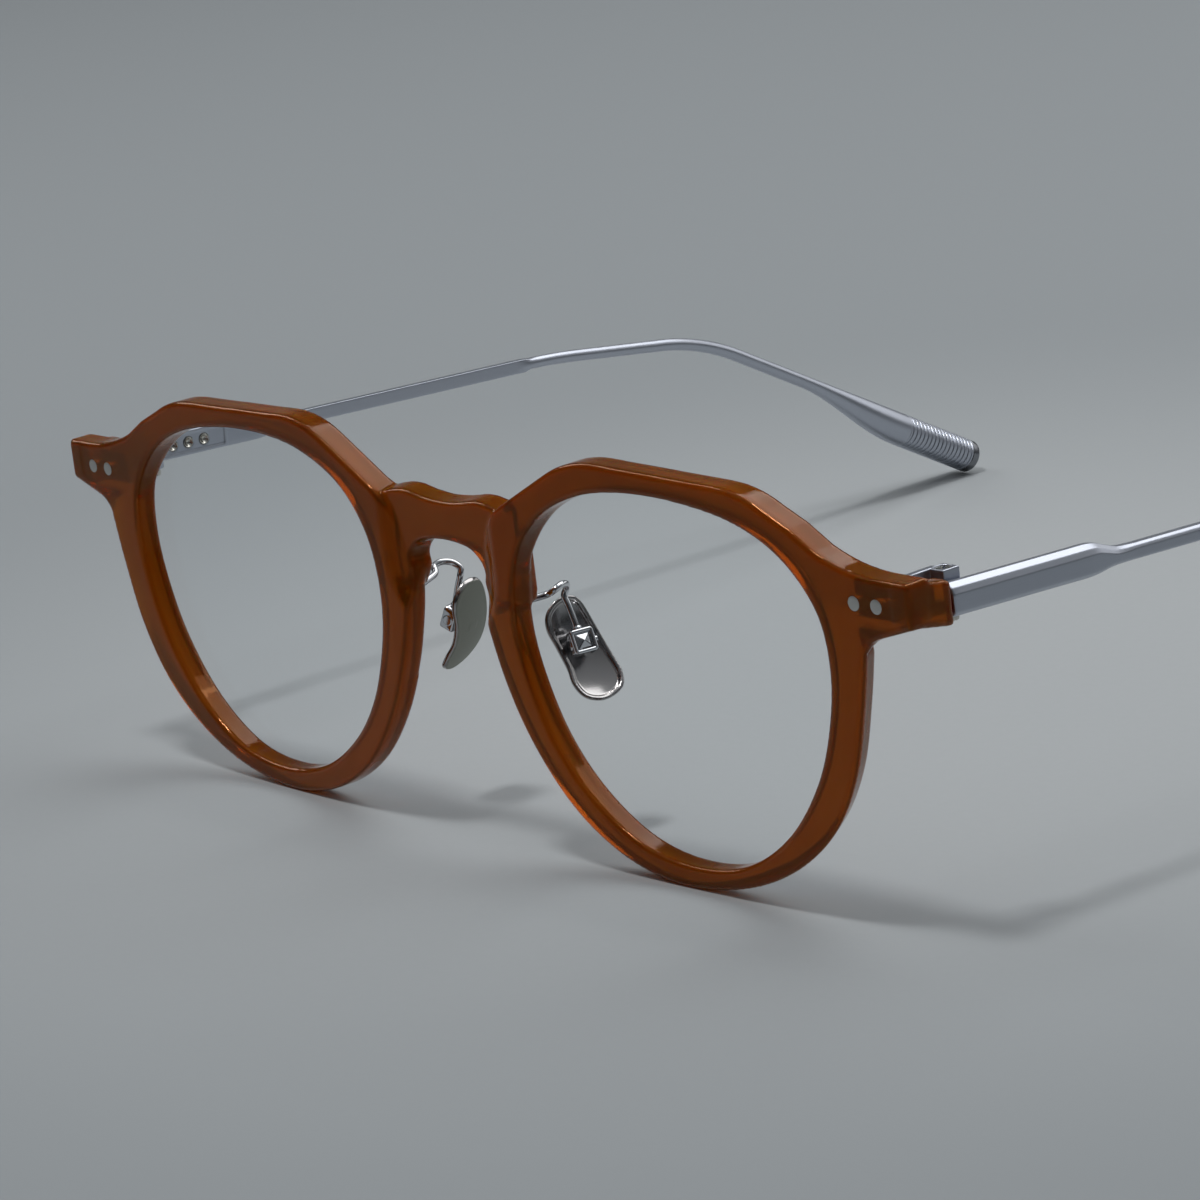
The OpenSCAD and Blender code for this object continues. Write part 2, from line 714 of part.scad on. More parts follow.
front_frame();
lens("right");  // right_lens
lens("left");  // left_lens
rivets("right");  // right_rivets
rivets("left");  // left_rivets
front_leaf("right");  // right_front_leaf
front_leaf("left");  // left_front_leaf
hinge_screw("right");  // right_hinge_screw
hinge_screw("left");  // left_hinge_screw
hinge_nut("right");  // right_hinge_nut
hinge_nut("left");  // left_hinge_nut
pad_arm("right");  // right_pad_arm
pad_arm("left");  // left_pad_arm
pad_box("right");  // right_pad_box
pad_box("left");  // left_pad_box
pad_pin("right");  // right_pad_pin
pad_pin("left");  // left_pad_pin
nose_pad("right");  // right_nose_pad
nose_pad("left");  // left_nose_pad
temple_bar("right");  // right_temple_bar
temple_bar("left");  // left_temple_bar
temple_leaf("right");  // right_temple_leaf
temple_leaf("left");  // left_temple_leaf
leaf_screws("right");  // right_leaf_screws
leaf_screws("left");  // left_leaf_screws
ear_grip("right");  // right_ear_grip
ear_grip("left");  // left_ear_grip
end_cap("right");  // right_end_cap
end_cap("left");  // left_end_cap
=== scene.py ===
import bpy
import bmesh
import math
import numpy as np
from mathutils import Matrix, Quaternion, Vector


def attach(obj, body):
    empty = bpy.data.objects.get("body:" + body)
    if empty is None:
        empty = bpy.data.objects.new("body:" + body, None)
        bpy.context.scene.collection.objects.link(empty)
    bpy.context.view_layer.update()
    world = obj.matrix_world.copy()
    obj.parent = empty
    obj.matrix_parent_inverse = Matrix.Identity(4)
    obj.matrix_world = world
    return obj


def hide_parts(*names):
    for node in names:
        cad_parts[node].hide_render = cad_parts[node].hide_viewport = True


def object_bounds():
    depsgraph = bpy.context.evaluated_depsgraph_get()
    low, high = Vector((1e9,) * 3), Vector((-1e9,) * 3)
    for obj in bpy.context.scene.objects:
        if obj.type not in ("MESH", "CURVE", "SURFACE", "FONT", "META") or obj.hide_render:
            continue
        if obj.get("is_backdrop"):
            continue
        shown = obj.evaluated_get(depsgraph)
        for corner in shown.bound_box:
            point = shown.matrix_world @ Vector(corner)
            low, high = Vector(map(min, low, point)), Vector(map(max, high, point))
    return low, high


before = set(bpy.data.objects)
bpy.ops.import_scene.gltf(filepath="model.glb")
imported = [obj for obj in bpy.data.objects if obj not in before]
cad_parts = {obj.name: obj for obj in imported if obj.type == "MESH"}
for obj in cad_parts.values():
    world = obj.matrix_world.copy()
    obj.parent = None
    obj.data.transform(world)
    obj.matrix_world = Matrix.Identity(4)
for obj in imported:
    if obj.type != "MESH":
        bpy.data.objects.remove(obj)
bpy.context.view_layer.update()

# Studio: the open glasses stand on pale grey paper that rises into a backdrop. A
# small lamp high up throws the shadows, a wide softbox hangs behind, a long low
# one stands farther back, and one at the left lights the edges.
aim, distance, focal_length = Vector((0.025248, -0.07168, 0.030065)), 0.54161, 156.21
azimuth, elevation, roll = math.radians(51.065), math.radians(14.454), math.radians(-6.4006)
away = Vector((math.sin(azimuth) * math.cos(elevation),
               -math.cos(azimuth) * math.cos(elevation), math.sin(elevation)))
camera_data = bpy.data.cameras.new("camera")
camera_data.sensor_width = 36
camera_data.lens = focal_length
camera_data.clip_start = 0.01
camera = bpy.data.objects.new("camera", camera_data)
camera.rotation_mode = "QUATERNION"
camera.location = aim + distance * away
camera.rotation_quaternion = away.to_track_quat("Z", "Y") @ Quaternion((0, 0, 1), roll)
bpy.context.scene.collection.objects.link(camera)
bpy.context.scene.camera = camera
bpy.context.scene.view_settings.view_transform = "Standard"


def ink(hex_colour):
    """Linear colour of an sRGB hex value."""
    parts = [int(hex_colour[i:i + 2], 16) / 255 for i in (1, 3, 5)]
    return tuple(c / 12.92 if c <= 0.04045 else ((c + 0.055) / 1.055) ** 2.4 for c in parts) + (1,)


def add_node(tree, kind, links=None, **settings):
    """A shader node; settings are its properties, links its sockets' values or sources."""
    made = tree.nodes.new(kind)
    for name, value in settings.items():
        setattr(made, name, value)
    for socket, value in (links or {}).items():
        if isinstance(value, bpy.types.NodeSocket):
            tree.links.new(value, made.inputs[socket])
        else:
            made.inputs[socket].default_value = value
    return made


def new_material(name, slot=""):
    """An empty node material, and the record's slot that it finishes."""
    made = bpy.data.materials.new(name)
    made["slot"] = slot
    made.use_nodes = True
    made.node_tree.nodes.clear()
    return made, made.node_tree


def mesh_piece(name, points, faces, material, smooth_angle=None):
    """An object from points in metres and faces; smooth up to an angle in degrees."""
    mesh = bpy.data.meshes.new(name)
    mesh.from_pydata([tuple(p) for p in points], [], [tuple(f) for f in faces])
    shell = bmesh.new()
    shell.from_mesh(mesh)
    bmesh.ops.remove_doubles(shell, verts=shell.verts, dist=1e-7)
    bmesh.ops.recalc_face_normals(shell, faces=shell.faces)
    shell.to_mesh(mesh)
    shell.free()
    mesh.materials.append(material)
    made = bpy.data.objects.new(name, mesh)
    bpy.context.scene.collection.objects.link(made)
    if smooth_angle is not None:
        mesh.shade_smooth()
        mesh.set_sharp_from_angle(angle=math.radians(smooth_angle))
    return made


floor_paint, tree = new_material("matte_grey_paper")
# Uncoated backdrop paper: a flat matte grey. Painted shade darkens it away from
# the middle, where the light falls off. Its fibres are 0.1 mm, drawn at 1.1 mm to show.
where = add_node(tree, "ShaderNodeTexCoord")
grain = add_node(tree, "ShaderNodeTexNoise", {"Vector": where.outputs["Object"], "Scale": 900, "Detail": 2})
shade = add_node(tree, "ShaderNodeMix", {
    "Factor": grain.outputs["Fac"], "A": ink("#a5a9ab"), "B": ink("#a8acae")}, data_type="RGBA")
# Painted shade: the grey darkens from 3 to 20 cm out from the middle, where the light falls off
far = add_node(tree, "ShaderNodeVectorMath", {0: where.outputs["Object"]}, operation="LENGTH")
painted_falloff = add_node(tree, "ShaderNodeMapRange", {
    "Value": far.outputs["Value"], "From Min": 0.03, "From Max": 0.2}, interpolation_type="SMOOTHSTEP")
shade = add_node(tree, "ShaderNodeMix", {
    "Factor": painted_falloff.outputs["Result"], "A": shade.outputs["Result"], "B": ink("#8d9295")}, data_type="RGBA")
paper = add_node(tree, "ShaderNodeBsdfPrincipled", {
    "Base Color": shade.outputs["Result"], "Roughness": 0.9})
add_node(tree, "ShaderNodeOutputMaterial", {"Surface": paper.outputs["BSDF"]})
paper_front, curve_start, curve_r, paper_top, half_width = -1.6, 0.9, 0.6, 2.4, 2.5
bent = [(curve_start + curve_r * math.sin(a), curve_r - curve_r * math.cos(a))
        for a in [math.radians(6 * k) for k in range(16)]]
rise = [(paper_front, 0.0)] + bent + [(curve_start + curve_r, paper_top)]
turn = Matrix.Rotation(azimuth, 3, "Z")
sweep = [turn @ Vector((x, y, z)) for y, z in rise for x in (-half_width, half_width)]
strips = [(2 * i, 2 * i + 1, 2 * i + 3, 2 * i + 2) for i in range(len(rise) - 1)]
floor = mesh_piece("floor", sweep, strips, floor_paint, 60)
floor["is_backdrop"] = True


def softbox(name, place, target, width, height, watts):
    """A soft rectangular lamp, turned to a target."""
    data = bpy.data.lights.new(name, "AREA")
    data.shape = "RECTANGLE"
    data.size, data.size_y, data.energy = width, height, watts
    lamp = bpy.data.objects.new(name, data)
    lamp.location = place
    lamp.rotation_mode = "QUATERNION"
    lamp.rotation_quaternion = (Vector(place) - Vector(target)).to_track_quat("Z", "Y")
    bpy.context.scene.collection.objects.link(lamp)


softbox("key_lamp", (-0.08, -0.25, 1.15), (0, -0.03, 0.02), 0.16, 0.16, 4.3)
softbox("top_softbox", (-0.05, 0.6, 1.0), (0, -0.03, 0.02), 1.1, 0.9, 7)
softbox("low_softbox", (0.1, 1.15, 0.45), (0, 0, 0.02), 1.2, 0.35, 1.35)
softbox("edge_softbox", (-0.95, -0.2, 0.75), (0, -0.03, 0.02), 0.4, 0.6, 1.9)
world = bpy.data.worlds.new("studio")
bpy.context.scene.world = world
world.use_nodes = True
tree = world.node_tree
# The room is dark round the set and paler overhead, where the softboxes light its ceiling
where = add_node(tree, "ShaderNodeTexCoord")
above = add_node(tree, "ShaderNodeVectorMath", {
    0: where.outputs["Generated"], 1: (-0.1, 0.35, 0.93)}, operation="DOT_PRODUCT")
glow = add_node(tree, "ShaderNodeMapRange", {
    "Value": above.outputs["Value"], "From Min": 0.1, "From Max": 0.95, "To Min": 0.05, "To Max": 0.6})
tree.nodes["Background"].inputs["Color"].default_value = ink("#c8ccd0")
tree.links.new(glow.outputs["Result"], tree.nodes["Background"].inputs["Strength"])

# Front: one plate of translucent amber acetate, cut to its outline, milled for
# the lenses and the set-back bridge, then tumbled until every edge is round.
# The endpieces run back in a leg that the temples rest against.
acetate, tree = new_material("tumbled_amber_acetate", "acetate")
# Cellulose acetate, polished by tumbling: a faintly cloudy caramel, dark brown
# where it is thick, glowing orange where it is thin or lit from behind. The faces
# are softly burnished, and the tumbled edges have the brightest gloss. The clouds
# in it are about 22 mm across.
where = add_node(tree, "ShaderNodeTexCoord")
cloud = add_node(tree, "ShaderNodeTexNoise", {
    "Vector": where.outputs["Object"], "Scale": 45, "Detail": 3, "Distortion": 0.6})
amber = add_node(tree, "ShaderNodeMix", {
    "Factor": cloud.outputs["Fac"], "A": ink("#9a500b"), "B": ink("#c07518")}, data_type="RGBA")
edges = add_node(tree, "ShaderNodeNewGeometry")
gloss = add_node(tree, "ShaderNodeMapRange", {
    "Value": edges.outputs["Pointiness"], "From Min": 0.512, "From Max": 0.54,
    "To Min": 0.04, "To Max": 3.0})
body = add_node(tree, "ShaderNodeBsdfPrincipled", {
    "Base Color": amber.outputs["Result"], "Roughness": 0.1, "IOR": 1.47,
    "Specular IOR Level": gloss.outputs["Result"], "Specular Tint": ink("#ffb070"),
    "Transmission Weight": 0.74, "Subsurface Weight": 1.0,
    "Subsurface Radius": (1.0, 0.5, 0.2), "Subsurface Scale": 0.003})
depth = add_node(tree, "ShaderNodeVolumeAbsorption", {"Color": (0.85, 0.57, 0.02, 1), "Density": 650})
add_node(tree, "ShaderNodeOutputMaterial", {
    "Surface": body.outputs["BSDF"], "Volume": depth.outputs["Volume"]})

# Outlines in millimetres, across the front and up, for the wearer's left side
opening_points = [
    (35.5, 2.35), (43.5, 3.6), (50.5, 8.0), (55.6, 14.5), (58.3, 21.4), (59.1, 27.5),
    (57.9, 32.9), (53.7, 37.6), (47.6, 40.5), (39.8, 41.85), (31.5, 42.1), (23.8, 41.0),
    (17.0, 37.9), (13.0, 33.0), (11.7, 27.0), (12.5, 20.8), (15.6, 13.5), (20.6, 7.8), (27.5, 3.7)]
lower_points = [
    (64.5, 28.8), (63.3, 23.0), (61.2, 15.8), (57.5, 9.6), (51.9, 4.8), (44.9, 1.55),
    (37.0, 0.0), (30.5, 0.15), (23.7, 2.1), (17.4, 6.1), (12.4, 11.9), (9.0, 18.3),
    (7.0, 24.5), (6.3, 28.4)]
crown_nose, crown_inner = (8.6, 37.2), (22.9, 44.95)
crown_outer, crown_side = (48.8, 44.15), (61.6, 37.4)


def curve_through(points, closed, steps=8):
    """Points of a smooth curve through points."""
    p = np.array(points, float)
    n = len(p)
    out = []
    for i in range(n if closed else n - 1):
        near = (i - 1, i, i + 1, i + 2)
        a, b, c, d = (p[k % n] if closed else p[min(max(k, 0), n - 1)] for k in near)
        for k in range(steps):
            t = k / steps
            out.append(0.5 * (2 * b + (c - a) * t + (2 * a - 5 * b + 4 * c - d) * t * t
                              + (3 * b - a - 3 * c + d) * t ** 3))
    return out if closed else out + [p[-1]]


def corner(before, at, after, reach, steps=8):
    """Points of a rounded corner that starts and ends at a distance from it."""
    a, b, c = (np.array(q, float) for q in (before, at, after))
    start = b + (a - b) / np.linalg.norm(a - b) * reach
    end = b + (c - b) / np.linalg.norm(c - b) * reach
    return [(1 - t) ** 2 * start + 2 * t * (1 - t) * b + t * t * end
            for t in np.linspace(0, 1, steps + 1)]


rim_outline = (corner(lower_points[-1], crown_nose, crown_inner, 3)
               + corner(crown_nose, crown_inner, crown_outer, 4.2)
               + corner(crown_inner, crown_outer, crown_side, 3.6) + [(55.4, 40.95)]
               + corner(crown_outer, crown_side, lower_points[0], 2.5)
               + curve_through(lower_points, False))
endpiece_outline = ([(60.6, 29.6), (57.6, 34.5)]
                    + corner((50, 43.45), (62.3, 37.08), (71.45, 37.0), 5.5)
                    + [(71.42, 37.0), (71.47, 32.35)]
                    + corner((71.5, 32.35), (64.9, 30.3), (63.9, 27.4), 1.8) + [(63.9, 27.4)])
bridge_top = [(-4, 38.05), (0, 37.75), (3.0, 37.95), (6.0, 38.4), (8.3, 38.2), (10.6, 37.6)]
arch = [(-4, 33.35), (0, 33.45), (3.8, 33.05), (5.7, 32.0), (6.5, 30.6), (6.4, 29.2), (7.6, 27.2)]
bridge_outline = (curve_through(bridge_top, False) + [(11.6, 37.9), (11.6, 27.6)]
                  + curve_through(arch, False)[::-1])

# The grid of places where the front's distances are worked out
step = 0.25
across = np.arange(-72.25, 72.5, step)
deep = np.arange(-0.75, 7.26, step)
high = np.arange(-0.75, 46.0, step)


def flat_distance(outline, u, z):
    """Signed distance to a closed outline at places across and up, negative inside."""
    u, z = np.broadcast_arrays(u, z)
    best, inside = np.full(u.shape, 1e9), np.zeros(u.shape, bool)
    p = np.array(outline)
    for (ax, az), (bx, bz) in zip(p, np.roll(p, -1, axis=0)):
        dx, dz = bx - ax, bz - az
        if dx * dx + dz * dz < 1e-12:
            continue
        t = np.clip(((u - ax) * dx + (z - az) * dz) / (dx * dx + dz * dz), 0, 1)
        best = np.minimum(best, (u - ax - t * dx) ** 2 + (z - az - t * dz) ** 2)
        if dz:
            inside ^= ((az > z) != (bz > z)) & (u < ax + (z - az) * dx / dz)
    return np.where(inside, -1, 1) * np.sqrt(best)


def joined(a, b, blend):
    """Union of two distance fields with a small hollow fillet."""
    h = np.clip(0.5 + 0.5 * (b - a) / blend, 0, 1)
    return b + (a - b) * h - blend * h * (1 - h)


def cut(a, b, blend):
    """What two distance fields share, with a small rounded edge."""
    return -joined(-a, -b, blend)


def rounded_plate(shape, front, rear, front_radius, rear_radius):
    """A flat shape given depth, with round edges at its front and rear."""
    out = []
    for d, radius in ((front, front_radius), (rear, rear_radius)):
        a, b = shape + radius, d + radius
        out.append(np.minimum(np.maximum(a, b), 0)
                   + np.hypot(np.maximum(a, 0), np.maximum(b, 0)) - radius)
    return np.maximum(*out)


# Across from the nose, back from the front face, and up
u, w, z = np.meshgrid(np.abs(across), deep, high, indexing="ij", sparse=True)
rims, opening, plate, bridge = (flat_distance(outline, u[:, 0], z[0])[:, None] for outline in (
    rim_outline, curve_through(opening_points, True), endpiece_outline, bridge_outline))
# The rim narrows towards its rear on the lower temple side, and the plate that
# carries the endpiece is slanted below
narrowing, plate_floor = 1.1, np.interp(w, (0, 0.5, 1.75, 3.5), (27.9, 28.6, 30.9, 31.2))
drafted = np.clip((w - 0.3) / 2.4, 0, 1) * np.clip((u - 34) / 12, 0, 1) * np.clip((34 - z) / 5, 0, 1)
ring = np.maximum(np.minimum(rims + narrowing * drafted, np.maximum(plate, plate_floor - z)), -opening)
rim_face, rim_depth, crown_extra = 0.04, 3.0, 0.5
rim_back = rim_depth + crown_extra * np.clip((z - 33) / 4, 0, 1)
front = rounded_plate(ring, rim_face - w, w - rim_back, 0.45, 0.6)
# A slanted facet runs from the bridge down the nose side of each rim
facet_edge = 9.3 - 3.2 * np.clip((31 - z) / 7, 0, 1) ** 2
front = cut(front, 0.438 * (facet_edge - u) - 0.899 * (w - 0.1), 0.3)
# The bridge is set back and narrows to its front
bridge_face, bridge_back, bridge_draft = 0.95, 4.08, 0.1
bar = rounded_plate(bridge - bridge_draft * (w - bridge_face), bridge_face - w, w - bridge_back, 0.4, 0.7)
front = joined(front, np.maximum(bar, 0.3 - opening), 0.6)
leg_inside, leg_outside, leg_end = 69.0, 71.43, 6.28
leg_floor, leg_top = 32.45 - 0.2 * w, 37.02 - 0.17 * w
leg = cut(cut(u - leg_outside, leg_inside - u, 0.3), cut(w - leg_end, -w, 0.3), 0.5)
leg = cut(leg, cut(z - leg_top, leg_floor - z, 0.5), 0.5)
front = joined(front, leg, 0.15)


def surface_of(field, corner_at, size):
    """Points and four-cornered faces where a field on a grid crosses zero."""
    inside = field < 0
    cells = np.array(field.shape) - 1
    total, count, quads = np.zeros((cells.prod(), 3)), np.zeros(cells.prod()), []
    for axis in range(3):
        low_end = np.moveaxis(inside, axis, 0)[:-1]
        crossing = np.argwhere(low_end != np.moveaxis(inside, axis, 0)[1:])
        order = [axis] + [k for k in range(3) if k != axis]
        at = np.empty_like(crossing)
        at[:, order] = crossing
        other = at.copy()
        other[:, axis] += 1
        a, b = field[tuple(at.T)], field[tuple(other.T)]
        spot = at.astype(float)
        spot[:, axis] += a / (a - b)
        j, k = (axis + 1) % 3, (axis + 2) % 3
        around = []
        for dj, dk in ((1, 1), (0, 1), (0, 0), (1, 0)):
            cell = at.copy()
            cell[:, j] -= dj
            cell[:, k] -= dk
            index = np.ravel_multi_index(cell.T, cells)
            for c in range(3):
                total[:, c] += np.bincount(index, spot[:, c], len(total))
            count += np.bincount(index, minlength=len(count))
            around.append(index)
        around = np.stack(around, 1)
        quads.append(np.where((a < 0)[:, None], around, around[:, ::-1]))
    used = count > 0
    number = np.cumsum(used) - 1
    points, faces = total[used] / count[used, None], number[np.concatenate(quads)]
    ends = np.concatenate([faces[:, (k, (k + 1) % 4)] for k in range(4)])
    shares = np.bincount(ends[:, 0], minlength=len(points))[:, None]
    for factor in (0.6, -0.62) * 5:
        near = np.stack([np.bincount(ends[:, 0], points[ends[:, 1], c], len(points)) for c in range(3)], 1)
        points = points + factor * (near / shares - points)
    return points * size + np.array(corner_at), faces


points, faces = surface_of(front, (across[0], deep[0], high[0]), step)
# Each rim is turned back 2 degrees about the end of the bridge. The acetate stands
# 0.9 degrees from upright, and the hinges and pads lean 2.1 degrees
wrap, bridge_end, stance, lean = math.radians(2), 10, math.radians(0.9), math.radians(2.1)
middle_y, lift, front_ahead, front_lift = 71.68, 0.084, 0.72, 0.037
upright = (Matrix.Translation((0, -middle_y - front_ahead, lift + front_lift))
           @ Matrix.Rotation(stance, 4, "X"))
sideways, backward, upward = points.T
beyond = np.maximum(np.abs(sideways) - bridge_end, 0)
x = np.where(beyond > 0, bridge_end + beyond * math.cos(wrap) - backward * math.sin(wrap),
             np.abs(sideways))
y = backward * np.where(beyond > 0, math.cos(wrap), 1) + beyond * math.sin(wrap)
stood = [upright @ Vector(p) / 1000 for p in zip(np.sign(sideways) * x, y, upward)]
front_piece = mesh_piece("acetate_front", stood, faces, acetate, 180)
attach(front_piece, "front")
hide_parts("front_frame")

# Lenses: two clear resin plates with a shallow curve, cut to the shape of the
# openings, coated against reflections and snapped into the grooves of the rims.
lens_glass, tree = new_material("coated_clear_lens", "clear_lens")
# Cast resin with an anti-reflection coat: seen only by a faint cool gloss.
clear = add_node(tree, "ShaderNodeBsdfTransparent", {"Color": (0.975, 0.982, 0.985, 1)})
gloss = add_node(tree, "ShaderNodeBsdfGlossy", {"Color": ink("#dfe6f2"), "Roughness": 0.02})
facing = add_node(tree, "ShaderNodeFresnel", {"IOR": 1.07})
both = add_node(tree, "ShaderNodeMixShader", {
    0: facing.outputs["Fac"], 1: clear.outputs["BSDF"], 2: gloss.outputs["BSDF"]})
add_node(tree, "ShaderNodeOutputMaterial", {"Surface": both.outputs["Shader"]})
rim_place = (upright @ Matrix.Translation((bridge_end, 0, 0)) @ Matrix.Rotation(wrap, 4, "Z")
             @ Matrix.Translation((-bridge_end, 0, 0)))


def paired(name, points, faces, place, material, angle, body, *replaced):
    """A piece of the left side and its mirror image, from points in millimetres."""
    made = []
    for side, sign in (("left", 1), ("right", -1)):
        at = [place @ Vector(p) / 1000 for p in points]
        made.append(mesh_piece(f"{side}_{name}", [(sign * p.x, p.y, p.z) for p in at],
                               [tuple(f)[::sign] for f in faces], material, angle))
        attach(made[-1], body.replace("side", side))
        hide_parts(*(f"{side}_{node}" for node in replaced))
    return made


def skin(rings):
    """Points and faces of a closed skin over rings of as many points each."""
    count, last = len(rings[0]), (len(rings) - 1) * len(rings[0])
    faces = [(i + k, i + (k + 1) % count, i + count + (k + 1) % count, i + count + k)
             for i in range(0, last, count) for k in range(count)]
    ends = [tuple(range(count - 1, -1, -1)), tuple(range(last, last + count))]
    return [point for ring in rings for point in ring], faces + ends


lens_edge = np.array(curve_through(opening_points, True, 6))
lens_middle, lens_face, lens_thick, lens_curve, in_groove = np.array((35.5, 22.5)), 0.58, 1.3, 420, 1.012
rings = []
for surface, thick in ((1, 0.0), (-1, lens_thick)):
    for share in np.linspace(0, 1, 13)[::surface]:
        spread = lens_middle + share * (lens_edge - lens_middle) * in_groove
        reach = np.hypot(*(spread - lens_middle).T)
        sag = lens_curve - np.sqrt(lens_curve ** 2 - reach ** 2)
        rings.append([(a, lens_face + d + thick, c) for (a, c), d in zip(spread, sag)])
paired("lens", *skin(rings), rim_place, lens_glass, 30, "front", "lens")

# Temples: titanium rod, pressed at the front into a wide bevelled blade, milled
# down behind it to a thin flat bar, then left round where it bends over the ear
# and swells below into the root of the grip. Polished, then plated a cool grey.
plated, tree = new_material("plated_titanium", "satin_titanium")
# Ion-plated titanium, finely satin along its length: a cool lilac grey with
# soft wide highlights. The satin's lines are 0.1 mm apart, drawn 0.17 mm apart
# and 2 mm long to show.
where = add_node(tree, "ShaderNodeTexCoord")
along = add_node(tree, "ShaderNodeMapping", {
    "Vector": where.outputs["Object"], "Scale": (6000, 500, 6000)})
satin = add_node(tree, "ShaderNodeTexNoise", {"Vector": along.outputs["Vector"], "Scale": 1, "Detail": 2})
rough = add_node(tree, "ShaderNodeMapRange", {
    "Value": satin.outputs["Fac"], "To Min": 0.33, "To Max": 0.37})
tint = add_node(tree, "ShaderNodeMix", {
    "Factor": satin.outputs["Fac"], "A": ink("#b3b8c2"), "B": ink("#b9bdc7")}, data_type="RGBA")
metal = add_node(tree, "ShaderNodeBsdfPrincipled", {
    "Base Color": tint.outputs["Result"], "Metallic": 1.0, "Roughness": rough.outputs["Result"]})
add_node(tree, "ShaderNodeOutputMaterial", {"Surface": metal.outputs["BSDF"]})

slope, bow, ear_bend = math.radians(2.2), math.radians(5), math.radians(21.2)
blade_t, blade_half, bar_t, bar_low, bar_high, bar_len = 1.6, 1.7, 1.3, -1.175, 0.475, 62.5
bar_bevel, blade_bevel, end_round = 0.42, 0.5, 0.3
rod_start_r, rod_end_r, grip_r, flare_len, drift = 0.72, 0.85, 2.2, 20, 0.265
# Across, back along and up from the front end of a temple's inner face
temple_place = (Matrix.Translation((69.5, 7.45 - middle_y, 33.85 + lift))
                @ Matrix.Rotation(-slope, 4, "X"))


def section(t, low, high, bevel, inset=0):
    """Outline across the bar: flat inside, and outside one bevel below and two above."""
    t, low, high = t - inset, low + inset, high - inset
    c = [(inset, low), (t - 0.5 * bevel, low), (t, low + 0.5 * bevel), (t, high - 1.2 * bevel),
         (t - 0.36 * bevel, high - 0.52 * bevel), (t - bevel, high), (inset, high)]
    rounds = [corner(c[i - 1], c[i], c[(i + 1) % 7], 0.09, 3) for i in range(7)]
    outline = []
    for arc, following in zip(rounds, rounds[1:] + rounds[:1]):
        outline += arc + [arc[-1] * (1 - share) + following[0] * share
                          for share in (0.17, 0.34, 0.5, 0.66, 0.83)]
    return outline


def temple_rings():
    """Rings of points from the front end of a temple to the root of its grip."""
    high = np.array(curve_through([
        (17, blade_half), (19.2, blade_half), (20.5, 1.56), (21.9, 1.12), (23.6, 0.62),
        (26, bar_high), (30, bar_high), (60.4, bar_high)], False))
    low = np.array(curve_through([
        (16, -blade_half), (18.8, -blade_half), (20.6, -1.58), (22.6, -1.26), (25, bar_low),
        (30, bar_low), (60.4, bar_low)], False))
    rings, shaped = [], [*np.linspace(0, end_round, 5), 1, 3, 6, 10, 14, *np.linspace(17, 27, 41)]
    for d in shaped + [30, 38, 46, 54, 60, 61.4]:
        wide = np.clip((26 - d) / 7, 0, 1)
        inset = end_round - math.sqrt(max(end_round ** 2 - (end_round - min(d, end_round)) ** 2, 0))
        ring = section(bar_t + (blade_t - bar_t) * wide, np.interp(d, *low.T), np.interp(d, *high.T),
                       bar_bevel + blade_bevel * wide, inset)
        # The end is cut at a slant, which fades out in 6 mm
        rings.append([(x, d - 0.075 * (z + blade_half) * max(0, 1 - d / 6), z) for x, z in ring])
    middle = (bar_low + bar_high) / 2
    turns = [math.atan2(z - middle, x - bar_t / 2) for x, z in section(bar_t, bar_low, bar_high, bar_bevel)]
    at, down = np.array([bar_len, middle]), 0.0
    path = [(at, down)]
    # Straight length, bend, radius of the bend and steps, for each run of the rod
    runs = [(0, bow, 90, 6), (14.1, 0, 0, 4), (0, ear_bend, 36, 16), (11.65, 0, 0, 3)]
    for straight, bend, radius, steps in runs:
        for k in range(steps):
            if bend:
                new = down + bend / steps
                moved = np.array([math.sin(new) - math.sin(down), math.cos(new) - math.cos(down)])
                at, down = at + radius * moved, new
            else:
                at = at + straight / steps * np.array([math.cos(down), -math.sin(down)])
            path.append((at, down))
    path = [(at, down, r) for (at, down), r in zip(path, np.linspace(rod_start_r, rod_end_r, len(path)))]
    # The flare swells mostly downwards, to the grip's radius
    for k in range(1, 25):
        share = np.clip((k / 24 - 0.04) / 0.93, 0, 1)
        r = rod_end_r + (grip_r - rod_end_r) * share * share * (3 - 2 * share)
        over = flare_len * k / 24
        path.append((at + over * np.array([math.cos(down), -math.sin(down)])
                     - (r - rod_end_r) * np.array([math.sin(down), math.cos(down)]), down, r))
    for (y, z), down, r in path:
        x = bar_t / 2 - drift * (r - rod_end_r)
        rings.append([(x + r * math.cos(a), y + r * math.sin(a) * math.sin(down),
                       z + r * math.sin(a) * math.cos(down)) for a in turns])
    return rings, path[-1][0], down


rings, (grip_y, grip_z), down = temple_rings()
grip_place = (temple_place @ Matrix.Translation((bar_t / 2 - drift * (grip_r - rod_end_r), grip_y, grip_z))
              @ Matrix.Rotation(-math.pi / 2 - down, 4, "X"))
paired("temple", *skin(rings), temple_place, plated, 28, "side_temple", "temple_bar")


# Ear grips: a turned titanium sleeve with fine raised rings, pressed on the end
# of each temple, and a polished cap of darker plating that closes it.
def turned(profile, sides=64):
    """Points and faces of a profile of radii and heights, turned on a lathe."""
    turns = [2 * math.pi * k / sides for k in range(sides)]
    return skin([[(r * math.cos(a), r * math.sin(a), h) for a in turns] for r, h in profile])


